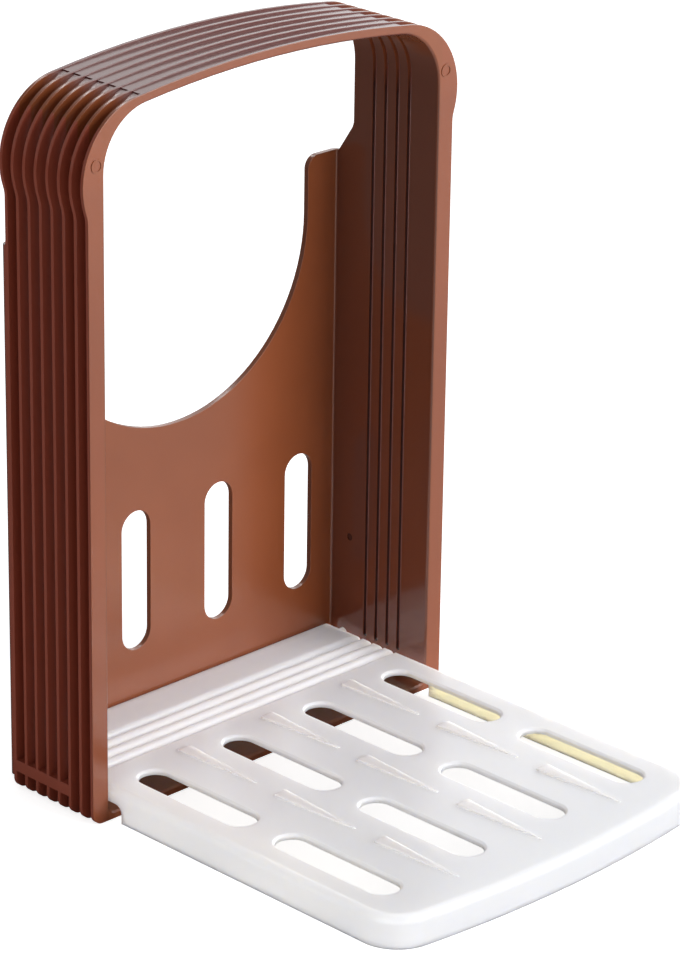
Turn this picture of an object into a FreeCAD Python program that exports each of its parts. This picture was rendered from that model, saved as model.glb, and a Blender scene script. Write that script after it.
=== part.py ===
import FreeCAD, Part
import Sketcher
import math
import os

# Folding bread slicer guide.
# Frame: +X to the right, -Y towards the loaf side (front), +Z up, millimetres.
# The guide stands open: the base lies flat in front of the frame and folds up into
# it about a hinge near the back plate. Both mouldings are drawn with Y = 0 in the
# plane of the frame's front face, and are then placed so that the origin is on the
# floor, at the centre of the frame's floor plate.

os.makedirs("parts", exist_ok=True)
doc = FreeCAD.newDocument("bread_slicer_guide")
sheet = doc.addObject("Spreadsheet::Sheet", "Sheet")

DIMENSIONS = [
    # the arch of the frame, seen from the front
    ("frame_height", 238.5, "floor to the crown of the arch"),
    ("inner_half", 71.4, "middle to the inner face of a side wall"),
    ("fin_reach", 6.8, "inner face of a side wall to the outer edge of a fin"),
    ("shoulder_bulge", 1.9, "how far a shoulder stands out past the straight fins"),
    ("shoulder_radius", 24.6, "outer rounding of the shoulder"),
    ("crown_radius", 420.0, "outer arc of the arched top"),
    ("inner_corner", 19.5, "inner rounding at the top corners"),
    ("crown_thick", 3.0, "thickness of the arched top"),
    ("wall", 1.6, "side wall under the channels"),
    ("seam_inset", 22.7, "outer edge of a fin to the step where the channels end on top"),
    ("shoulder_blend", 9.0, "hollow rounding where a shoulder meets the straight fin"),
    ("seam_step", 0.4, "height of the step where the channels end on top"),
    ("seam_groove", 0.35, "depth of the grooves in the arched top, beside the step"),
    ("crown_groove", 0.9, "depth of the shallow grooves in the arched top, at the crown"),
    ("mouth_chamfer", 0.6, "broken inner edge of the front face"),
    # the fins, front to back
    ("fin_count", 8, "fins on each side"),
    ("fin_thick", 1.3, "thickness of a fin"),
    ("fin_pitch", 5.25, "spacing of the fins, front to back"),
    ("fin_foot_radius", 4.0, "rounding at the foot of a fin"),
    # floor plate and back plate
    ("floor_thick", 2.4, "plate that joins the side walls at the floor"),
    ("floor_fillet", 2.6, "inner rounding between side wall and floor plate"),
    ("tail_depth", 7.4, "last fin to the front face of the back plate"),
    ("back_thick", 2.0, "thickness of the back plate"),
    ("back_height", 180.4, "top of the back plate"),
    ("step_rise", 9.9, "top of the side wall behind the last fin, above the back plate"),
    ("step_radius", 6.0, "hollow rounding at the top of the step's slope"),
    ("back_corner", 0.7, "rounding between back plate and side wall"),
    ("heel_radius", 3.5, "rounded lower rear edge and upright rear edges"),
    ("ear_width", 13.2, "side wall to the hand cut-out"),
    ("cutout_depth", 19.4, "top of the back plate to the centre of the cut-out's round end"),
    ("cutout_ear", 4.5, "rounding of the ears beside the cut-out"),
    # columns that the upright slots of the back plate and the slots of the base share
    ("column_count", 4, "slots side by side"),
    ("column_pitch", 36.8, "spacing of the slots"),
    ("window_width", 12.4, "width of an upright slot"),
    ("window_low", 27.7, "lower end of an upright slot"),
    ("window_high", 76.7, "upper end of an upright slot"),
    # guide slots for the knife, stop bars, posts and the mark left by the moulding gate
    ("knife_count", 4, "knife slots in each side wall"),
    ("knife_lead", 1.3, "fin to the middle of the knife slot behind it"),
    ("knife_width", 1.5, "width of a knife slot"),
    ("knife_headroom", 10.7, "crown of the arch to the upper end of a knife slot"),
    ("bar_fins", 6, "fins that a stop bar joins, counted from the back"),
    ("bar_drop", 0.7, "top of the base to the top of the stop bar, where the knife rests"),
    ("bar_thick", 4.0, "height of the stop bar"),
    ("post_inset", 3.6, "outer edge of a fin to the middle of a post in the shoulder"),
    ("post_drop", 22.1, "crown of the arch to the middle of a post"),
    ("post_radius", 1.0, "radius of a post in the shoulder"),
    ("mark_radius", 2.2, "radius of the round mark in front of a post"),
    ("mark_rim", 0.6, "width of the raised rim of the round mark"),
    ("mark_rise", 0.25, "how far that rim stands out of the front face"),
    ("post_channels", 2, "channels that a post crosses"),
    ("gate_radius", 1.3, "radius of the gate mark in the right side wall"),
    ("gate_sink", 0.35, "depth of the gate mark"),
    ("gate_back", 8.6, "front face of the back plate to the gate mark"),
    ("gate_height", 44.6, "floor to the gate mark"),
    # the hinge
    ("swing_radius", 5.75, "hinge axis to the round rear edge of the base"),
    ("swing_gap", 0.45, "round rear edge of the base to the back plate"),
    ("floor_gap", 0.35, "round rear edge of the base to the floor plate"),
    ("stud_radius", 1.6, "radius of a hinge stud"),
    ("stud_gap", 0.05, "running fit of a hinge stud in its bore, on the radius"),
    # the base
    ("side_gap", 0.9, "side wall of the frame to the side of the base"),
    ("top_over_hinge", 2.5, "hinge axis to the top of the base"),
    ("under_hinge", 2.6, "hinge axis to the underside of the base's raised rear part"),
    ("base_front", 129.8, "front face of the frame to the front of the base"),
    ("base_bow", 440.0, "radius of the bowed front edge"),
    ("base_corner", 14.0, "rounding of the front corners"),
    ("rear_corner", 2.0, "cut rear corners"),
    ("plate", 2.0, "thickness of the top plate"),
    ("skirt", 2.0, "thickness of the skirt"),
    ("rear_wall", 2.8, "thickness of the rear wall"),
    ("hollow_corner", 0.6, "cut rear corners of the hollow underside"),
    ("rim_radius", 3.0, "rounding of the upper outer edge"),
    ("foot_start", 4.6, "front face of the frame to where the skirt reaches the floor"),
    ("notch_radius", 3.0, "rounding at the top of the skirt's notch"),
    ("slot_width", 11.0, "width of a slot"),
    ("slot_length", 49.6, "length of a slot"),
    ("slot_rear", 1.6, "rear end of the rear slots behind the front face"),
    ("slot_bridge", 12.4, "plate left between a rear slot and the front slot"),
    ("slot_chamfer", 0.7, "broken upper rim of a slot"),
    ("groove_depth", 2.5, "depth of the knife grooves across the base"),
    ("groove_width", 1.4, "width of a knife groove at its bottom"),
    ("groove_floor", 1.3, "plate left under a knife groove"),
    ("groove_lead", 4.2, "full hollow to the middle of the front groove"),
    ("groove_tail", 3.1, "middle of the rear groove to the rear hollow"),
    ("ramp_count", 3, "small ramps along and across the base"),
    ("ramp_shift", 2.0, "ramps to the right of the middle between slots"),
    ("ramp_rear", 5.0, "rear end of the rear ramps behind the front face"),
    ("ramp_length", 33.5, "length of a ramp"),
    ("ramp_half", 2.6, "half the width of a ramp at its rear end"),
    ("ramp_rise", 0.8, "height of a ramp at its rear end"),
    ("ramp_tip", 0.35, "half the width of a ramp at its tip, and its height there"),
    ("ramp_step", 44.0, "spacing of the ramps, front to back"),
]
for row, (alias, size, note) in enumerate(DIMENSIONS, start=1):
    sheet.set("A%d" % row, alias)
    sheet.set("B%d" % row, str(size))
    sheet.set("C%d" % row, note)
    sheet.setAlias("B%d" % row, alias)
doc.recompute()


class Size:
    """A length with the formula over the sheet's cells that gives it."""

    def __init__(self, amount, formula):
        self.amount = float(amount)
        self.formula = formula

    @staticmethod
    def of(other):
        return other if isinstance(other, Size) else Size(other, repr(float(other)))

    def __add__(self, other):
        other = Size.of(other)
        return Size(self.amount + other.amount, "(%s + %s)" % (self.formula, other.formula))

    def __sub__(self, other):
        other = Size.of(other)
        return Size(self.amount - other.amount, "(%s - %s)" % (self.formula, other.formula))

    def __mul__(self, other):
        other = Size.of(other)
        return Size(self.amount * other.amount, "(%s * %s)" % (self.formula, other.formula))

    def __truediv__(self, other):
        other = Size.of(other)
        return Size(self.amount / other.amount, "(%s / %s)" % (self.formula, other.formula))

    def __neg__(self):
        return Size(-self.amount, "(0 - %s)" % self.formula)

    def __rsub__(self, other):
        return Size.of(other) - self

    __radd__ = __add__
    __rmul__ = __mul__


def root(size):
    return Size(size.amount ** 0.5, "sqrt(%s)" % size.formula)


def cell(alias):
    return Size(sheet.get(alias), "Sheet." + alias)


def origin_plane(body, role):
    return [f for f in body.Origin.OriginFeatures if f.Role == role][0]


def new_sketch(body, label, role, lift=None):
    """Sketch on one of the body's own origin planes, lifted along its normal."""
    sketch = body.newObject("Sketcher::SketchObject", label)
    sketch.AttachmentSupport = [(origin_plane(body, role), "")]
    sketch.MapMode = "FlatFace"
    if lift is not None:
        lift = Size.of(lift)
        sketch.AttachmentOffset = FreeCAD.Placement(
            FreeCAD.Vector(0, 0, lift.amount), FreeCAD.Rotation())
        sketch.setExpression("AttachmentOffset.Base.z", lift.formula)
    return sketch


def bind(sketch, constraint, formula):
    index = sketch.addConstraint(constraint)
    sketch.setExpression("Constraints[%d]" % index, formula)


def place_point(sketch, geo, end, x, y):
    """Tie one point of the sketch to the origin by formulas."""
    for kind, size, axis in (("DistanceX", Size.of(x), -2), ("DistanceY", Size.of(y), -1)):
        if abs(size.amount) < 1e-9:
            sketch.addConstraint(Sketcher.Constraint("PointOnObject", geo, end, axis))
        elif size.amount > 0:
            bind(sketch, Sketcher.Constraint(kind, -1, 1, geo, end, size.amount), size.formula)
        else:
            bind(sketch, Sketcher.Constraint(kind, geo, end, -1, 1, -size.amount),
                 (-size).formula)


def draw_outline(sketch, corners):
    """Closed outline. Each corner is (x, y) or (x, y, radius): with a radius, the
    edge that leaves the corner is an arc, counter-clockwise where it is positive."""
    edges = []
    count = len(corners)
    for i, corner in enumerate(corners):
        nxt = corners[(i + 1) % count]
        a = FreeCAD.Vector(Size.of(corner[0]).amount, Size.of(corner[1]).amount, 0)
        b = FreeCAD.Vector(Size.of(nxt[0]).amount, Size.of(nxt[1]).amount, 0)
        if len(corner) == 2:
            edges.append((sketch.addGeometry(Part.LineSegment(a, b), False), 1, 2))
            continue
        radius = Size.of(corner[2])
        turn = 1 if radius.amount > 0 else -1
        reach = abs(radius.amount)
        chord = b - a
        side = FreeCAD.Vector(-chord.y, chord.x, 0).normalize() * turn
        depth = max(reach ** 2 - (chord.Length / 2) ** 2, 0) ** 0.5
        centre = (a + b) / 2 + side * depth
        first, last = (a, b) if turn > 0 else (b, a)
        begin = math.atan2(first.y - centre.y, first.x - centre.x)
        finish = math.atan2(last.y - centre.y, last.x - centre.x)
        if finish <= begin:
            finish += 2 * math.pi
        circle = Part.Circle(centre, FreeCAD.Vector(0, 0, 1), reach)
        geo = sketch.addGeometry(Part.ArcOfCircle(circle, begin, finish), False)
        start, end = (1, 2) if turn > 0 else (2, 1)
        if abs(reach - chord.Length / 2) < 1e-6:
            # a half circle over a level chord is held by its centre's height instead
            level = Size.of(corner[1])
            bind(sketch, Sketcher.Constraint("DistanceY", -1, 1, geo, 3, level.amount),
                 level.formula)
        else:
            size = radius if turn > 0 else -radius
            bind(sketch, Sketcher.Constraint("Radius", geo, size.amount), size.formula)
        edges.append((geo, start, end))
    for i, (geo, start, end) in enumerate(edges):
        nxt = edges[(i + 1) % count]
        sketch.addConstraint(Sketcher.Constraint("Coincident", geo, end, nxt[0], nxt[1]))
        place_point(sketch, geo, start, corners[i][0], corners[i][1])
    return sketch


def draw_circle(sketch, x, y, radius):
    radius = Size.of(radius)
    centre = FreeCAD.Vector(Size.of(x).amount, Size.of(y).amount, 0)
    geo = sketch.addGeometry(Part.Circle(centre, FreeCAD.Vector(0, 0, 1), radius.amount), False)
    bind(sketch, Sketcher.Constraint("Radius", geo, radius.amount), radius.formula)
    place_point(sketch, geo, 3, x, y)


def draw_slot(sketch, x, low, high, width):
    """Upright slot with half-round ends from low to high."""
    half = width / 2
    across = FreeCAD.Vector(half.amount, 0, 0)
    head = FreeCAD.Vector(Size.of(x).amount, (high - half).amount, 0)
    toe = FreeCAD.Vector(Size.of(x).amount, (low + half).amount, 0)
    up = sketch.addGeometry(Part.LineSegment(toe + across, head + across), False)
    ring = Part.Circle(head, FreeCAD.Vector(0, 0, 1), half.amount)
    over = sketch.addGeometry(Part.ArcOfCircle(ring, 0, math.pi), False)
    down = sketch.addGeometry(Part.LineSegment(head - across, toe - across), False)
    ring = Part.Circle(toe, FreeCAD.Vector(0, 0, 1), half.amount)
    round_toe = sketch.addGeometry(Part.ArcOfCircle(ring, math.pi, 2 * math.pi), False)
    for a, b in ((up, over), (over, down), (down, round_toe), (round_toe, up)):
        sketch.addConstraint(Sketcher.Constraint("Coincident", a, 2, b, 1))
    place_point(sketch, up, 1, x + half, low + half)
    place_point(sketch, up, 2, x + half, high - half)
    place_point(sketch, down, 1, x - half, high - half)
    place_point(sketch, down, 2, x - half, low + half)
    for arc, centre in ((over, high - half), (round_toe, low + half)):
        if centre.amount > 0:
            bind(sketch, Sketcher.Constraint("DistanceY", -1, 1, arc, 3, centre.amount),
                 centre.formula)
        else:
            bind(sketch, Sketcher.Constraint("DistanceY", arc, 3, -1, 1, -centre.amount),
                 (-centre).formula)


def extrude(body, kind, label, sketch, length, symmetric=False, backwards=False):
    feature = body.newObject("PartDesign::" + kind, label)
    feature.Profile = sketch
    feature.SideType = "Symmetric" if symmetric else "One side"
    feature.Reversed = backwards
    feature.Length = Size.of(length).amount
    feature.setExpression("Length", Size.of(length).formula)
    return feature


def row_of(body, label, feature, role, count_alias, pitch, backwards=False):
    """Linear pattern of a feature along the normal of an origin plane or an axis."""
    pattern = body.newObject("PartDesign::LinearPattern", label)
    pattern.Originals = [feature]
    pattern.Direction = ([f for f in body.Origin.OriginFeatures if f.Role == role][0], [""])
    pattern.Reversed = backwards
    count = cell(count_alias)
    steps = Size.of(pitch) * (count - 1)
    pattern.Length = steps.amount
    pattern.setExpression("Length", steps.formula)
    pattern.Occurrences = int(count.amount)
    pattern.setExpression("Occurrences", "Sheet." + count_alias)
    body.Tip = pattern
    return pattern


# ---------------------------------------------------------------- the frame
# One moulding: thin arch with fins outside, floor plate and back plate.
frame = doc.addObject("PartDesign::Body", "slicer_frame")
frame.Label = "slicer_frame"

height = cell("frame_height")
inner = cell("inner_half")
straight = inner + cell("fin_reach")
wall = cell("wall")
crown = cell("crown_radius")
shoulder = cell("shoulder_radius")
corner = cell("inner_corner")
floor_top = cell("floor_thick")
floor_fillet = cell("floor_fillet")
fin = cell("fin_thick")
pitch = cell("fin_pitch")
foot = cell("fin_foot_radius")
seam = straight - cell("seam_inset")

ring_depth = pitch * (cell("fin_count") - 1) + fin
back_front = ring_depth + cell("tail_depth")
back_rear = back_front + cell("back_thick")
plate_top = cell("back_height")
step_top = plate_top + cell("step_rise")
wall_outer = inner + wall
crown_centre = height - crown

# outer shoulder: a circle that touches the crown and overshoots the straight side
shoulder_x = straight + cell("shoulder_bulge") - shoulder
shoulder_z = crown_centre + root((crown - shoulder) * (crown - shoulder) - shoulder_x * shoulder_x)
touch_x = shoulder_x * crown / (crown - shoulder)
touch_z = crown_centre + (shoulder_z - crown_centre) * crown / (crown - shoulder)

# a hollow rounding leads from the straight fin into the shoulder
blend = cell("shoulder_blend")
blend_x = straight + blend - shoulder_x
side_top = shoulder_z - root((shoulder + blend) * (shoulder + blend) - blend_x * blend_x)
join_x = shoulder_x + blend_x * shoulder / (shoulder + blend)
join_z = shoulder_z - (shoulder_z - side_top) * shoulder / (shoulder + blend)

# inner corner: a circle that touches the inner crown and the side wall
inner_crown = crown - cell("crown_thick")
corner_x = inner - corner
corner_z = crown_centre + root((inner_crown - corner) * (inner_crown - corner)
                               - corner_x * corner_x)
meet_x = corner_x * inner_crown / (inner_crown - corner)
meet_z = crown_centre + (corner_z - crown_centre) * inner_crown / (inner_crown - corner)

# the channel's floor: an arc from the side wall up to the low step on top
seam_high = crown_centre + root(crown * crown - seam * seam) - cell("seam_groove")
seam_low = seam_high - cell("seam_step")
rise = seam_low - corner_z
run = wall_outer - seam
skin = (run * run + rise * rise) / (run * 2)
sag = height - cell("crown_groove") - seam_high
groove_arc = (seam * seam + sag * sag) / (sag * 2)


def inner_outline(sketch):
    draw_outline(sketch, [
        (inner, floor_top + floor_fillet), (inner, corner_z, corner),
        (meet_x, meet_z, inner_crown), (-meet_x, meet_z, corner),
        (-inner, corner_z), (-inner, floor_top + floor_fillet, floor_fillet),
        (floor_fillet - inner, floor_top), (inner - floor_fillet, floor_top, floor_fillet)])


# thin ring: side walls, arched top up to the bottom of its grooves, floor plate
ring_sketch = new_sketch(frame, "ring_outline", "XZ_Plane")
draw_outline(ring_sketch, [
    (wall_outer, wall), (wall_outer, corner_z, skin), (seam, seam_low),
    (seam, seam_high, groove_arc), (-seam, seam_high), (-seam, seam_low, skin),
    (-wall_outer, corner_z), (-wall_outer, wall, wall), (wall - wall_outer, 0),
    (wall_outer - wall, 0, wall)])
inner_outline(ring_sketch)
extrude(frame, "Pad", "ring", ring_sketch, ring_depth, backwards=True)

# fins: thin frames that stand out of the side walls and run over the top as strips
fin_sketch = new_sketch(frame, "fin_outline", "XZ_Plane")
draw_outline(fin_sketch, [
    (straight, foot), (straight, side_top, -blend), (join_x, join_z, shoulder),
    (touch_x, touch_z, crown), (-touch_x, touch_z, shoulder), (-join_x, join_z, -blend),
    (-straight, side_top), (-straight, foot, foot),
    (foot - straight, 0), (straight - foot, 0, foot)])
inner_outline(fin_sketch)
first_fin = extrude(frame, "Pad", "front_fin", fin_sketch, fin, backwards=True)
row_of(frame, "fins", first_fin, "Y_Axis", "fin_count", pitch)

# side walls and floor plate carried on behind the last fin to the back plate
lap = 0.5
tail_sketch = new_sketch(frame, "tail_outline", "XZ_Plane", lap - ring_depth)
tail_top = step_top + 3
draw_outline(tail_sketch, [
    (wall_outer, wall), (wall_outer, tail_top), (inner, tail_top),
    (inner, floor_top + floor_fillet, -floor_fillet), (inner - floor_fillet, floor_top),
    (floor_fillet - inner, floor_top, -floor_fillet), (-inner, floor_top + floor_fillet),
    (-inner, tail_top), (-wall_outer, tail_top), (-wall_outer, wall, wall),
    (wall - wall_outer, 0), (wall_outer - wall, 0, wall)])
extrude(frame, "Pad", "tail", tail_sketch, back_rear - ring_depth + lap, backwards=True)

# back plate with its ears beside the hand cut-out
hand = inner - cell("ear_width")
hand_z = plate_top - cell("cutout_depth")
ear = cell("cutout_ear")
plate_sketch = new_sketch(frame, "back_plate_outline", "XZ_Plane", -back_front)
draw_outline(plate_sketch, [
    (wall_outer, wall), (wall_outer, plate_top), (hand + ear, plate_top, ear),
    (hand, plate_top - ear), (hand, hand_z, -hand), (-hand, hand_z),
    (-hand, plate_top - ear, ear), (-hand - ear, plate_top), (-wall_outer, plate_top),
    (-wall_outer, wall, wall), (wall - wall_outer, 0), (wall_outer - wall, 0, wall)])
extrude(frame, "Pad", "back_plate", plate_sketch, cell("back_thick"), backwards=True)

# sloping step from the last fin down to the back plate, cut through both side walls
slope_run = cell("tail_depth") - cell("back_corner")
slope_rise = cell("step_rise")
slope = root(slope_run * slope_run + slope_rise * slope_rise)
bend = cell("step_radius")
bend_reach = bend * (slope - slope_rise) / slope_run
step_sketch = new_sketch(frame, "step_outline", "YZ_Plane")
draw_outline(step_sketch, [
    (ring_depth, step_top + bend_reach, bend),
    (ring_depth + bend_reach * slope_run / slope, step_top - bend_reach * slope_rise / slope),
    (ring_depth + slope_run, plate_top),
    (back_rear + 2, plate_top), (back_rear + 2, tail_top + 2), (ring_depth, tail_top + 2)])
extrude(frame, "Pocket", "step", step_sketch, wall_outer * 2 + 4, symmetric=True)

# the lower rear edge is rounded off from side to side
heel = cell("heel_radius")
heel_sketch = new_sketch(frame, "heel_outline", "YZ_Plane")
draw_outline(heel_sketch, [
    (back_rear - heel, -1), (back_rear + 1, -1), (back_rear + 1, heel),
    (back_rear, heel, -heel), (back_rear - heel, 0)])
extrude(frame, "Pocket", "heel", heel_sketch, wall_outer * 2 + 4, symmetric=True)

# so are the upright rear edges
edge_sketch = new_sketch(frame, "rear_edge_outline", "XY_Plane")
for way in (-1, 1):
    near, far = (wall_outer - heel) * way, (wall_outer + 1) * way
    corners = [(near, back_rear, heel * -way), (wall_outer * way, back_rear - heel),
               (far, back_rear - heel), (far, back_rear + 1), (near, back_rear + 1)]
    draw_outline(edge_sketch, corners)
extrude(frame, "Pocket", "rear_edges", edge_sketch, tail_top, backwards=True)

# upright slots in the back plate
window_sketch = new_sketch(frame, "window_outline", "XZ_Plane", -back_rear - 1)
first_column = -(cell("column_count") - 1) * cell("column_pitch") / 2
draw_slot(window_sketch, first_column, cell("window_low"), cell("window_high"),
          cell("window_width"))
first_cut = extrude(frame, "Pocket", "window", window_sketch, cell("back_thick") + 2,
                    backwards=True)
row_of(frame, "windows", first_cut, "X_Axis", "column_count", cell("column_pitch"))

# hinge axis, top of the base and stop bar: the knife comes to rest on the stop bar
pivot_y = back_front - cell("swing_gap") - cell("swing_radius")
pivot_z = floor_top + cell("floor_gap") + cell("swing_radius")
base_top = pivot_z + cell("top_over_hinge")
bar_high = base_top - cell("bar_drop")
bar_start = pitch * (cell("fin_count") - cell("bar_fins"))

# knife slots: one cut through both side walls, repeated backwards
knife_first = bar_start + fin + cell("knife_lead")
knife_sketch = new_sketch(frame, "knife_outline", "YZ_Plane")
draw_slot(knife_sketch, knife_first, bar_high, height - cell("knife_headroom"),
          cell("knife_width"))
knife_cut = extrude(frame, "Pocket", "knife_slot", knife_sketch, straight * 2 + 10,
                    symmetric=True)
row_of(frame, "knife_slots", knife_cut, "Y_Axis", "knife_count", pitch)

# stop bars outside the side walls, across the channels with a knife slot
bar_low = bar_high - cell("bar_thick")
for side, way in (("left", -1), ("right", 1)):
    bar_sketch = new_sketch(frame, side + "_bar_outline", "XZ_Plane", -bar_start)
    near, far = wall_outer - lap, straight
    if way < 0:
        near, far = -far, -near
    draw_outline(bar_sketch, [(near, bar_low), (far, bar_low), (far, bar_high),
                              (near, bar_high)])
    extrude(frame, "Pad", side + "_bar", bar_sketch, ring_depth - bar_start, backwards=True)

# round posts that stand through the shoulder's front channels, each behind a round mark
post_x = straight - cell("post_inset")
post_z = height - cell("post_drop")
mark = cell("mark_radius")
for side, way in (("left", -1), ("right", 1)):
    post_sketch = new_sketch(frame, side + "_post_outline", "XZ_Plane", -fin / 2)
    draw_circle(post_sketch, post_x * way, post_z, cell("post_radius"))
    extrude(frame, "Pad", side + "_post", post_sketch, pitch * cell("post_channels"),
            backwards=True)
    mark_sketch = new_sketch(frame, side + "_mark_outline", "XZ_Plane", cell("mark_rise"))
    draw_circle(mark_sketch, post_x * way, post_z, mark)
    draw_circle(mark_sketch, post_x * way, post_z, mark - cell("mark_rim"))
    extrude(frame, "Pad", side + "_mark", mark_sketch, cell("mark_rise") + fin / 2,
            backwards=True)

# hinge bores through both side walls
bore_sketch = new_sketch(frame, "bore_outline", "YZ_Plane")
draw_circle(bore_sketch, pivot_y, pivot_z, cell("stud_radius") + cell("stud_gap"))
extrude(frame, "Pocket", "hinge_bores", bore_sketch, wall_outer * 2 + 0.2, symmetric=True)

# round mark of the moulding gate, sunk into the right side wall between slots and back plate
gate_sketch = new_sketch(frame, "gate_outline", "YZ_Plane", inner - lap)
draw_circle(gate_sketch, back_front - cell("gate_back"), cell("gate_height"),
            cell("gate_radius"))
extrude(frame, "Pocket", "gate_mark", gate_sketch, cell("gate_sink") + lap, backwards=True)
doc.recompute()


def pick_edges(feature, test):
    """Names of the feature's edges whose vertices all pass the test."""
    names = []
    for i, edge in enumerate(feature.Shape.Edges, start=1):
        if all(test(v.Point) for v in edge.Vertexes):
            names.append("Edge%d" % i)
    return names


def dress_edges(body, kind, label, names, size):
    """Fillet or chamfer on edges of the body's last feature."""
    base = body.Tip
    feature = body.newObject("PartDesign::" + kind, label)
    feature.Base = (base, names)
    measure = "Radius" if kind == "Fillet" else "Size"
    setattr(feature, measure, size.amount)
    feature.setExpression(measure, size.formula)
    return feature


def near(value, size):
    return abs(value - Size.of(size).amount) < 0.01


# the corner of back plate and side wall is rounded
inside = pick_edges(frame.Tip, lambda p: near(abs(p.x), inner) and near(p.y, back_front))
dress_edges(frame, "Fillet", "inside_corners", inside, cell("back_corner"))
doc.recompute()

# the inner edge of the front face is broken, all round the mouth of the frame
mouth = pick_edges(frame.Tip, lambda p: near(p.y, 0) and abs(p.x) < inner.amount + 0.01
                   and floor_top.amount - 0.01 < p.z < meet_z.amount + 0.01)
dress_edges(frame, "Chamfer", "mouth_edge", mouth, cell("mouth_chamfer"))
doc.recompute()

# ---------------------------------------------------------------- the base
# One moulding: a shallow tray turned upside down, with studs for the hinge.
base = doc.addObject("PartDesign::Body", "bread_base")
base.Label = "bread_base"

half = inner - cell("side_gap")
top = base_top
under = pivot_z - cell("under_hinge")
swing = cell("swing_radius")
bow = cell("base_bow")
turn = cell("base_corner")
tail = cell("rear_corner")
skirt = cell("skirt")
rear_end = pivot_y + swing
front_end = -cell("base_front")


def tray_outline(sketch, inset, rear):
    """Plan of the tray, drawn in by a distance: bowed front, round front corners and
    cut rear corners."""
    side = half - inset
    arc = bow - inset
    round_off = turn - inset
    centre = front_end + bow
    reach = arc - round_off
    offset = side - round_off
    across = root(reach * reach - offset * offset)
    touch = offset * arc / reach
    touch_y = centre - across * arc / reach
    end = tail if inset.amount == 0 else cell("hollow_corner")
    draw_outline(sketch, [
        (side, rear - end), (side - end, rear), (end - side, rear),
        (-side, rear - end), (-side, centre - across, round_off), (-touch, touch_y, arc),
        (touch, touch_y, round_off), (side, centre - across)])


# the full block, from the floor to the top
block_sketch = new_sketch(base, "block_outline", "XY_Plane")
tray_outline(block_sketch, Size.of(0), rear_end)
extrude(base, "Pad", "block", block_sketch, top)
doc.recompute()

# its upper outer edge is rounded, except at the rear
rim = [n for n in pick_edges(base.Tip, lambda p: near(p.z, top))
       if base.Tip.Shape.getElement(n).BoundBox.YMin < (rear_end - tail * 2).amount]
dress_edges(base, "Fillet", "rim", rim, cell("rim_radius"))
doc.recompute()

# the rear part is raised to clear the floor plate, with a rounded notch in the skirt
start = -cell("foot_start")
notch = cell("notch_radius")
notch_sketch = new_sketch(base, "notch_outline", "YZ_Plane")
draw_outline(notch_sketch, [
    (start, -1), (rear_end + 2, -1), (rear_end + 2, under), (start + notch, under, notch),
    (start, under - notch)])
extrude(base, "Pocket", "notch", notch_sketch, half * 2 + 4, symmetric=True)

# the rear edge follows a circle about the hinge axis, so it clears the back plate
rise = top - pivot_z
drop = pivot_z - under
high_reach = pivot_y + root(swing * swing - rise * rise)
low_reach = pivot_y + root(swing * swing - drop * drop)
swing_sketch = new_sketch(base, "swing_outline", "YZ_Plane")
draw_outline(swing_sketch, [
    (rear_end + 2, under - 1), (rear_end + 2, top + 1), (high_reach, top + 1),
    (high_reach, top, -swing), (low_reach, under), (low_reach, under - 1)])
extrude(base, "Pocket", "swing_edge", swing_sketch, half * 2 + 4, symmetric=True)

# hollow underside: full depth in front, shallower under the knife grooves
plate = cell("plate")
last_knife = knife_first + pitch * (cell("knife_count") - 1)
shallow_front = knife_first - cell("groove_lead")
shallow_rear = last_knife + cell("groove_tail")
groove_low = top - cell("groove_depth")
hollow_sketch = new_sketch(base, "hollow_outline", "XY_Plane")
tray_outline(hollow_sketch, skirt, shallow_front)
extrude(base, "Pocket", "hollow", hollow_sketch, top - plate, backwards=True)
inside_half = half - skirt
shallow_sketch = new_sketch(base, "shallow_outline", "XY_Plane")
draw_outline(shallow_sketch, [
    (inside_half, shallow_front - lap), (inside_half, shallow_rear),
    (-inside_half, shallow_rear), (-inside_half, shallow_front - lap)])
extrude(base, "Pocket", "shallow_hollow", shallow_sketch, groove_low - cell("groove_floor"),
        backwards=True)
rear_sketch = new_sketch(base, "rear_hollow_outline", "XY_Plane")
rear_inside = rear_end - cell("rear_wall")
draw_outline(rear_sketch, [
    (inside_half, shallow_rear - lap), (inside_half, rear_inside),
    (-inside_half, rear_inside), (-inside_half, shallow_rear - lap)])
extrude(base, "Pocket", "rear_hollow", rear_sketch, top - plate, backwards=True)

# knife grooves with round-topped ribs between them
groove_half = cell("groove_width") / 2
flare = (pitch - cell("groove_width")) / 2
groove_sketch = new_sketch(base, "groove_outline", "YZ_Plane")
draw_outline(groove_sketch, [
    (knife_first - groove_half, groove_low), (knife_first + groove_half, groove_low),
    (knife_first + groove_half, top - flare, -flare),
    (knife_first + pitch / 2, top), (knife_first + pitch / 2, top + 1),
    (knife_first - pitch / 2, top + 1), (knife_first - pitch / 2, top, -flare),
    (knife_first - groove_half, top - flare)])
groove_cut = extrude(base, "Pocket", "groove", groove_sketch, half * 2 + 4, symmetric=True)
row_of(base, "grooves", groove_cut, "Y_Axis", "knife_count", pitch)

# slots through the top plate, four across in two rows
slot_sketch = new_sketch(base, "slot_outline", "XY_Plane")
slot_length = cell("slot_length")
for back in (cell("slot_rear"), cell("slot_rear") - slot_length - cell("slot_bridge")):
    draw_slot(slot_sketch, first_column, back - slot_length, back, cell("slot_width"))
slot_cut = extrude(base, "Pocket", "slot_pair", slot_sketch, top + 1, backwards=True)
row_of(base, "slots", slot_cut, "X_Axis", "column_count", cell("column_pitch"))
doc.recompute()

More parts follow.
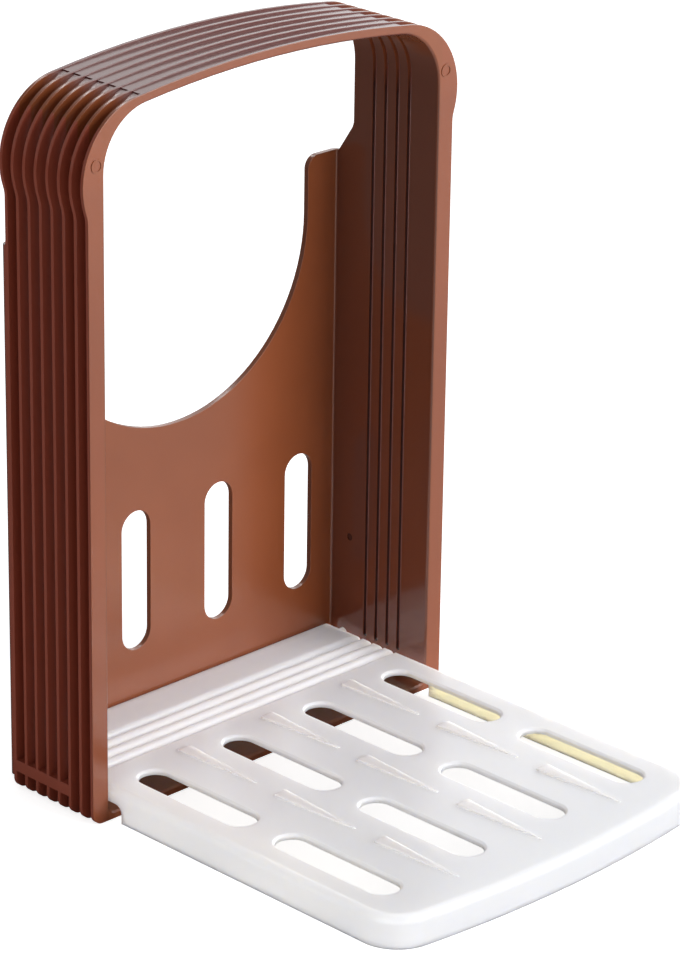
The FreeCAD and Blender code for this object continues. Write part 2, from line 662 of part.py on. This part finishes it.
# each slot has a broken upper rim
reach_x = cell("slot_width") / 2 - first_column
slot_y = cell("slot_rear") + 0.01
rims = pick_edges(base.Tip, lambda p: near(p.z, top) and abs(p.x) < reach_x.amount + 0.01
                  and p.y < slot_y.amount)
dress_edges(base, "Chamfer", "slot_rims", rims, cell("slot_chamfer"))
doc.recompute()

# small ramps between the slots: high and wide at the rear, running out to the front
ramp_half = cell("ramp_half")
ramp_rise = cell("ramp_rise")
ramp_x = cell("ramp_shift") - cell("column_pitch") * (cell("column_count") / 2 - 1)
ramp_rear = cell("ramp_rear")
ramp_front = ramp_rear - cell("ramp_length")
tip = cell("ramp_tip")
ramp_root = top - 0.4
plan = new_sketch(base, "ramp_plan", "XY_Plane", ramp_root)
draw_outline(plan, [(ramp_x - tip, ramp_front), (ramp_x + tip, ramp_front),
                    (ramp_x + ramp_half, ramp_rear), (ramp_x - ramp_half, ramp_rear)])
ramp = extrude(base, "Pad", "ramp", plan, top - ramp_root + ramp_rise)
above = new_sketch(base, "above_ramp", "YZ_Plane", ramp_x)
draw_outline(above, [(ramp_front - 1, top + tip), (ramp_front, top + tip),
                     (ramp_rear, top + ramp_rise), (ramp_rear, top + ramp_rise + 1),
                     (ramp_front - 1, top + ramp_rise + 1)])
ramp_slope = extrude(base, "Pocket", "ramp_slope", above, ramp_half * 2 + 1, symmetric=True)
doc.recompute()
field = base.newObject("PartDesign::MultiTransform", "ramp_field")
field.Originals = [ramp, ramp_slope]
moves = []
for label, role, size, flip in (("ramps_across", "X_Axis", cell("column_pitch"), False),
                                ("ramps_along", "Y_Axis", cell("ramp_step"), True)):
    move = base.newObject("PartDesign::LinearPattern", label)
    move.Direction = ([f for f in base.Origin.OriginFeatures if f.Role == role][0], [""])
    move.Reversed = flip
    span = size * (cell("ramp_count") - 1)
    move.Length = span.amount
    move.setExpression("Length", span.formula)
    move.Occurrences = int(cell("ramp_count").amount)
    move.setExpression("Occurrences", "Sheet.ramp_count")
    moves.append(move)
field.Transformations = moves
base.Tip = field
doc.recompute()

# hinge studs that stand out of the sides and turn in the frame's bores
stud_root = inside_half + 0.3
stud_reach = wall_outer - 0.2
stud_sketch = new_sketch(base, "stud_outline", "YZ_Plane", stud_root)
draw_circle(stud_sketch, pivot_y, pivot_z, cell("stud_radius"))
stud = extrude(base, "Pad", "right_stud", stud_sketch, stud_reach - stud_root)
pair = base.newObject("PartDesign::Mirrored", "studs")
pair.Originals = [stud]
pair.MirrorPlane = (origin_plane(base, "YZ_Plane"), [""])
base.Tip = pair
doc.recompute()

# ---------------------------------------------------------------- place on the floor
# The origin is under the frame: on the floor, at the centre of its floor plate.
for body in (frame, base):
    body.Placement = FreeCAD.Placement(FreeCAD.Vector(0, -back_rear.amount / 2, 0),
                                       FreeCAD.Rotation())
    body.setExpression("Placement.Base.y", (-back_rear / 2).formula)
doc.recompute()

# ---------------------------------------------------------------- checks and export
faulty = [o.Name for o in doc.Objects if "Invalid" in o.State or "Error" in o.State]
if faulty:
    raise RuntimeError("these objects did not compute: " + ", ".join(faulty))
for body in (frame, base):
    if body.Shape.isNull() or not body.Shape.isValid() or len(body.Shape.Solids) != 1:
        raise RuntimeError(body.Label + " is not one valid solid")
for body in (frame, base):
    body.Shape.exportStep("parts/%s.step" % body.Label)
    box = body.Shape.BoundBox
    print(body.Label, "volume %.0f mm3" % body.Shape.Volume,
          "X %.2f..%.2f Y %.2f..%.2f Z %.2f..%.2f" % (box.XMin, box.XMax, box.YMin, box.YMax,
                                                      box.ZMin, box.ZMax))
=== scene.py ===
import math

import bpy
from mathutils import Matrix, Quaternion, Vector


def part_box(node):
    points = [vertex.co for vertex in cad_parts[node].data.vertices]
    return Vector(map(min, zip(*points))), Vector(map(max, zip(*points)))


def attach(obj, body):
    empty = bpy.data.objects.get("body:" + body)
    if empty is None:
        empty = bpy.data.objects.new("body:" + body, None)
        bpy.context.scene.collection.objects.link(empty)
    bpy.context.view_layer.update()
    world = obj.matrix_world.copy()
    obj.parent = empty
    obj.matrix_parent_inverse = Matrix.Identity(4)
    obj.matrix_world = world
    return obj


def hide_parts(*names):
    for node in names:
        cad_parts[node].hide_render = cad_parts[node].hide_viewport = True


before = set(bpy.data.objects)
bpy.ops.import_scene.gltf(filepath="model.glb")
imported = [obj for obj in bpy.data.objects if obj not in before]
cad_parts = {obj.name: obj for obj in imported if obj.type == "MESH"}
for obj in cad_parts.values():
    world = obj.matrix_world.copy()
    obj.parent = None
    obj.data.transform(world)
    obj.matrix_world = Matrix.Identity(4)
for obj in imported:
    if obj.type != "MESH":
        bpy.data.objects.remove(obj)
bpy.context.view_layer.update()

bpy.ops.object.select_all(action="DESELECT")

# ------------------------------------------------------------------ slicer frame
# The tall arched guide is one injection-moulded piece of glossy brown plastic.
# Its outward edges are broken by a small radius, so each one catches the light.
# Edges of narrow faces stay sharp, and so do those of the feet on the floor.
merge_distance = 0.000004
flat_angle = math.radians(0.6)
crease_angle = math.radians(28)
smooth_angle = math.radians(35)
narrowest_face = 0.0007
foot_height = 0.0045
edge_radius = 0.00022
edge_steps = 2
large_face_weight = 100


def copy_of_node(node_name, piece_name):
    """A copy of the CAD node as an object of its own, active and selected."""
    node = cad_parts[node_name]
    piece = node.copy()
    piece.data = node.data.copy()
    piece.name = piece_name
    piece.data.name = piece_name
    piece.parent = None
    for key in list(piece.keys()):
        del piece[key]
    bpy.context.scene.collection.objects.link(piece)
    bpy.context.view_layer.objects.active = piece
    piece.select_set(True)
    return piece


def merge_flat_faces():
    """The facets of the active object become whole faces."""
    bpy.ops.object.mode_set(mode="EDIT")
    bpy.ops.mesh.select_all(action="SELECT")
    bpy.ops.mesh.customdata_custom_splitnormals_clear()
    bpy.ops.mesh.remove_doubles(threshold=merge_distance)
    bpy.ops.mesh.dissolve_limited(angle_limit=flat_angle, delimit=set())
    bpy.ops.mesh.select_all(action="DESELECT")
    bpy.ops.object.mode_set(mode="OBJECT")


def faces_beside_edges(mesh):
    """Under each edge's two ends: its faces' normals, directions inward and widths."""
    beside = {}
    for face in mesh.polygons:
        corners = [mesh.vertices[index].co for index in face.vertices]
        for i, index in enumerate(face.vertices):
            ends = tuple(sorted((face.vertices[i - 1], index)))
            into_face = face.normal.cross(corners[i] - corners[i - 1]).normalized()
            width = max(into_face.dot(corner - corners[i]) for corner in corners)
            beside.setdefault(ends, []).append((face.normal, into_face, width))
    return beside


def mark_outward_edges(mesh):
    """Gives full bevel weight to the outward edges between faces that are wide enough."""
    beside = faces_beside_edges(mesh)
    weights = mesh.attributes.new("bevel_weight_edge", "FLOAT", "EDGE")
    for edge in mesh.edges:
        pair = beside.get(tuple(sorted(edge.vertices)), ())
        if len(pair) != 2:
            continue
        (normal, into_face, width), (other_normal, _, other_width) = pair
        creased = normal.angle(other_normal, 0) > crease_angle
        outward = other_normal.dot(into_face) < 0
        wide = min(width, other_width) > narrowest_face
        top = max(mesh.vertices[index].co.z for index in edge.vertices)
        if creased and outward and wide and top > foot_height:
            weights.data[edge.index].value = 1.0


def soft_moulding(node_name, piece_name):
    """A copy of the CAD moulding with merged faces and rounded outward edges."""
    piece = copy_of_node(node_name, piece_name)
    merge_flat_faces()
    mark_outward_edges(piece.data)
    bevel = piece.modifiers.new("edge_radius", "BEVEL")
    bevel.limit_method = "WEIGHT"
    bevel.width = edge_radius
    bevel.segments = edge_steps
    bevel.use_clamp_overlap = False
    bpy.ops.object.modifier_apply(modifier=bevel.name)
    bpy.ops.object.shade_smooth_by_angle(angle=smooth_angle)
    even = piece.modifiers.new("even_shading", "WEIGHTED_NORMAL")
    even.keep_sharp = True
    even.weight = large_face_weight
    bpy.ops.object.modifier_apply(modifier=even.name)
    piece.select_set(False)
    return piece


moulding = soft_moulding("slicer_frame", "slicer_frame_moulding")

# The plastic's colour has painted light and shade by place: painted shade on the inner
# walls, the deepest painted shade inside the knife slots, a redder, brighter painted
# light on the combs, and a darker, greyer painted shade on the crown. The slots'
# painted shade also falls on a thin strip of each upright rear edge. A span says where
# a tone starts and where it is full, in metres. Those of the inner-wall shade and of
# the sheen measure how far a face is from the middle plane, times how squarely it
# looks away from it.
crown_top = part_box("slicer_frame")[1].z
wall_inside = 0.0714
wall_outside = 0.0730
front_face = -0.0240
span_of_inner_wall_shade = (-0.030, -0.065)
span_of_sheen = (0.030, 0.065)
span_past_inner_face = (wall_inside + 0.0001, wall_inside + 0.0003)
span_out_to_combs = (wall_outside - 0.0005, wall_outside - 0.0001)
span_behind_front = (front_face + 0.0002, front_face + 0.0008)
span_down_from_shoulder = (crown_top - 0.0245, crown_top - 0.0325)
span_above_opening = (crown_top - 0.0285, crown_top - 0.0235)
span_in_to_crown = (0.0640, 0.0565)
dark_brown = (0.250, 0.066, 0.022)
light_brown = (0.305, 0.084, 0.029)
# The next four colours are painted light and shade: shade on the inner walls, the deepest
# shade in the knife slots, light on the combs, shade on the crown.
inner_wall_painted_shade = (0.175, 0.051, 0.025)
knife_slot_painted_shade = (0.070, 0.022, 0.014)
comb_painted_light = (0.360, 0.077, 0.042)
crown_painted_shade = (0.160, 0.052, 0.046)


def new_material(name):
    """A material and its tree, with the shader and the coordinates node."""
    material = bpy.data.materials.new(name)
    material.use_nodes = True
    tree = material.node_tree
    return material, tree, tree.nodes["Principled BSDF"], tree.nodes.new("ShaderNodeTexCoord")


def split(tree, vector):
    """The X, Y and Z of a vector."""
    node = tree.nodes.new("ShaderNodeSeparateXYZ")
    tree.links.new(vector, node.inputs[0])
    return node.outputs["X"], node.outputs["Y"], node.outputs["Z"]


def calculate(tree, operation, *values):
    """The result of one math operation on the values."""
    node = tree.nodes.new("ShaderNodeMath")
    node.operation = operation
    for value, socket in zip(values, node.inputs):
        tree.links.new(value, socket)
    return node.outputs[0]


def along(tree, value, span, low=0.0, high=1.0):
    """A number that goes from low to high while the value goes along the span."""
    node = tree.nodes.new("ShaderNodeMapRange")
    node.inputs["From Min"].default_value = span[0]
    node.inputs["From Max"].default_value = span[1]
    node.inputs["To Min"].default_value = low
    node.inputs["To Max"].default_value = high
    tree.links.new(value, node.inputs["Value"])
    return node.outputs[0]


def mottle(tree, place, dark, light, limits, scale, detail):
    """A colour that wanders from dark to light as a noise goes between the limits."""
    noise = tree.nodes.new("ShaderNodeTexNoise")
    noise.inputs["Scale"].default_value = scale
    noise.inputs["Detail"].default_value = detail
    tree.links.new(place.outputs["Object"], noise.inputs["Vector"])
    ramp = tree.nodes.new("ShaderNodeValToRGB")
    for stop, position, colour in zip(ramp.color_ramp.elements, limits, (dark, light)):
        stop.position = position
        stop.color = (*colour, 1)
    tree.links.new(noise.outputs["Fac"], ramp.inputs["Fac"])
    return ramp.outputs["Color"]


def repaint(tree, colour, share, other):
    """The colour, turned into the other one where the share is 1."""
    node = tree.nodes.new("ShaderNodeMix")
    node.data_type = "RGBA"
    node.inputs["B"].default_value = (*other, 1)
    tree.links.new(share, node.inputs["Factor"])
    tree.links.new(colour, node.inputs["A"])
    return node.outputs["Result"]


brown_gloss, tree, shader, place = new_material("brown_gloss")
x, y, z = split(tree, place.outputs["Object"])
facing_x, _, _ = split(tree, place.outputs["Normal"])
across = calculate(tree, "ABSOLUTE", x)
outward = calculate(tree, "MULTIPLY", x, facing_x)
sideways = calculate(tree, "ABSOLUTE", outward)
behind_front = along(tree, y, span_behind_front)
past_inner_face = along(tree, across, span_past_inner_face)
in_side_wall = calculate(tree, "MULTIPLY", past_inner_face,
                         along(tree, z, span_down_from_shoulder))
at_top = calculate(tree, "MULTIPLY", along(tree, across, span_in_to_crown),
                   along(tree, z, span_above_opening))
on_inner_wall = along(tree, outward, span_of_inner_wall_shade)
in_knife_slot = calculate(tree, "MULTIPLY", in_side_wall, behind_front)
in_comb = calculate(tree, "MULTIPLY", along(tree, across, span_out_to_combs), behind_front)
on_crown = calculate(tree, "MULTIPLY", at_top, behind_front)
brown = mottle(tree, place, dark_brown, light_brown, limits=(0.3, 0.7), scale=14, detail=3)
# Painted shade on the inner walls and in the knife slots, painted light on the combs and
# painted shade on the crown.
brown = repaint(tree, brown, on_inner_wall, inner_wall_painted_shade)
brown = repaint(tree, brown, in_knife_slot, knife_slot_painted_shade)
brown = repaint(tree, brown, in_comb, comb_painted_light)
brown = repaint(tree, brown, on_crown, crown_painted_shade)
roughness = along(tree, sideways, span_of_sheen, low=0.25, high=0.14)
tree.links.new(brown, shader.inputs["Base Color"])
tree.links.new(roughness, shader.inputs["Roughness"])
shader.inputs["Specular IOR Level"].default_value = 0.7
moulding.data.materials.clear()
moulding.data.materials.append(brown_gloss)
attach(moulding, "frame")
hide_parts("slicer_frame")

# ------------------------------------------------------------------ bread base
# The fold-down base is one moulding of glossy white plastic, slightly translucent.
# It stands on its skirt, and its rear end turns on two studs inside the frame.
# The inner faces of its side skirts carry a painted warm light in cream, and its low ramps a
# painted shade in grey.
tray = soft_moulding("bread_base", "bread_base_moulding")

ramp_height = 0.0008
plate_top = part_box("bread_base")[1].z - ramp_height
span_in_skirt = (-0.055, -0.065)
span_onto_ramps = (plate_top + 0.00005, plate_top + 0.00025)
dark_white = (0.90, 0.865, 0.855)
light_white = (0.93, 0.895, 0.885)
# The cream is painted warm light on the skirts' inner faces, and the grey is painted shade on
# the ramps.
skirt_painted_warm_light = (0.95, 0.82, 0.58)
ramp_painted_shade = (0.74, 0.71, 0.70)

white_gloss, tree, shader, place = new_material("white_gloss")
x, _, z = split(tree, place.outputs["Object"])
facing_x, _, _ = split(tree, place.outputs["Normal"])
outward = calculate(tree, "MULTIPLY", x, facing_x)
white = mottle(tree, place, dark_white, light_white, limits=(0, 1), scale=22, detail=2)
# Painted warm light on the skirts' inner faces, then painted shade on the ramps.
white = repaint(tree, white, along(tree, outward, span_in_skirt), skirt_painted_warm_light)
white = repaint(tree, white, along(tree, z, span_onto_ramps), ramp_painted_shade)
tree.links.new(white, shader.inputs["Base Color"])
shader.inputs["Roughness"].default_value = 0.3
shader.inputs["Subsurface Weight"].default_value = 1.0
shader.inputs["Subsurface Radius"].default_value = (1.0, 0.92, 0.78)
shader.inputs["Subsurface Scale"].default_value = 0.009
tray.data.materials.clear()
tray.data.materials.append(white_gloss)
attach(tray, "base")
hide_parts("bread_base")

# ------------------------------------------------------------------ floor
# A plain pale table top under the guide. It looks white and keeps the shadow.
# Its reflection in the gloss fades towards the left and the rear.
floor_width = 8
floor_grey = (0.86, 0.86, 0.86, 1)
floor_glow = 0.8
span_to_front_right = (-0.05, 0.12)
dimmest_mirrored = 0.22
brightest_mirrored = 0.95

bpy.ops.mesh.primitive_plane_add(size=floor_width, location=(0, 0, 0))
floor = bpy.context.object
floor.name = "table_top"
table_white, tree, shader, place = new_material("table_white")
tree.nodes.remove(shader)
output = tree.nodes["Material Output"]
matt = tree.nodes.new("ShaderNodeBsdfDiffuse")
matt.inputs["Color"].default_value = floor_grey
glow = tree.nodes.new("ShaderNodeEmission")
glow.inputs["Strength"].default_value = floor_glow
lit = tree.nodes.new("ShaderNodeAddShader")
tree.links.new(matt.outputs[0], lit.inputs[0])
tree.links.new(glow.outputs[0], lit.inputs[1])
x, y, _ = split(tree, place.outputs["Object"])
to_front_right = calculate(tree, "SUBTRACT", x, y)
fading = along(tree, to_front_right, span_to_front_right,
               low=dimmest_mirrored, high=brightest_mirrored)
mirrored = tree.nodes.new("ShaderNodeBsdfDiffuse")
tree.links.new(fading, mirrored.inputs["Color"])
ray = tree.nodes.new("ShaderNodeLightPath")
seen = tree.nodes.new("ShaderNodeMixShader")
tree.links.new(ray.outputs["Is Camera Ray"], seen.inputs[0])
tree.links.new(matt.outputs[0], seen.inputs[1])
tree.links.new(lit.outputs[0], seen.inputs[2])
surface = tree.nodes.new("ShaderNodeMixShader")
tree.links.new(ray.outputs["Is Glossy Ray"], surface.inputs[0])
tree.links.new(seen.outputs[0], surface.inputs[1])
tree.links.new(mirrored.outputs[0], surface.inputs[2])
tree.links.new(surface.outputs[0], output.inputs["Surface"])
floor.data.materials.append(table_white)
floor.select_set(False)

# ------------------------------------------------------------------ studio light
# A large soft box in front to the right, a weak one above, and a small one behind
# that shows only as a reflection. The three cards light the white base alone, and
# the frame casts no shadow in their light. Place and width are in metres.
look_at = Vector((0.0, -0.04, 0.10))
base_only = bpy.data.collections.new("base_only")
base_only.objects.link(tray)
for name, place_at, width, watts in (
        ("front_box", (0.7, -1.6, 0.9), 1.2, 31),
        ("top_box", (0.2, 0.1, 1.8), 1.4, 3),
        ("glint_box", (0.37, 1.0, 1.3), 0.2, 1.6),
        ("base_card_top", (0.1, -0.3, 1.2), 0.8, 2.2),
        ("base_card_left", (-0.9, -0.3, 0.2), 0.8, 5.6),
        ("base_card_right", (0.7, 0.0, 0.05), 0.3, 5)):
    lamp = bpy.data.lights.new(name, "AREA")
    lamp.shape = "SQUARE"
    lamp.size = width
    lamp.energy = watts
    box = bpy.data.objects.new(name, lamp)
    box.location = place_at
    box.rotation_euler = (Vector(place_at) - look_at).to_track_quat("Z", "Y").to_euler()
    bpy.context.scene.collection.objects.link(box)
    if name == "glint_box":
        box.visible_diffuse = False
    if name.startswith("base_card"):
        box.light_linking.receiver_collection = base_only
        box.light_linking.blocker_collection = base_only

# The studio's white walls: full strength behind the guide, dimmer as a light, and in
# the gloss dark on the left and bright on the right.
wall_light = 0.31
span_to_right = (-0.10, 0.66)
gloss_swing = 0.75

world = bpy.data.worlds.new("studio")
bpy.context.scene.world = world
world.use_nodes = True
tree = world.node_tree
walls = tree.nodes["Background"]
walls.inputs["Color"].default_value = (1, 1, 1, 1)
ray = tree.nodes.new("ShaderNodeLightPath")
camera_ray = ray.outputs["Is Camera Ray"]
glossy_ray = ray.outputs["Is Glossy Ray"]
shown = calculate(tree, "MAXIMUM", camera_ray, glossy_ray)
level = along(tree, shown, (0, 1), low=wall_light)
toward = tree.nodes.new("ShaderNodeTexCoord")
toward_x, _, _ = split(tree, toward.outputs["Generated"])
swing = along(tree, toward_x, span_to_right, low=-gloss_swing, high=gloss_swing)
strength = calculate(tree, "MULTIPLY_ADD", glossy_ray, swing, level)
tree.links.new(strength, walls.inputs["Strength"])

# ------------------------------------------------------------------ camera
# A long lens from the front left, a little above the top of the arch.
camera_place = Vector((-0.8511, -0.8984, 0.5897))
camera_back = Vector((-0.65792, -0.65364, 0.37403))
camera_roll = math.radians(0.87)
camera = bpy.data.objects.new("camera", bpy.data.cameras.new("camera"))
camera.data.sensor_fit = "VERTICAL"
camera.data.sensor_height = 24
camera.data.lens = 104.27
camera.data.clip_end = 20
camera.location = camera_place
camera.rotation_mode = "QUATERNION"
camera.rotation_quaternion = (camera_back.to_track_quat("Z", "Y")
                              @ Quaternion((0, 0, 1), camera_roll))
bpy.context.scene.collection.objects.link(camera)
bpy.context.scene.camera = camera
bpy.context.scene.view_settings.view_transform = "Standard"
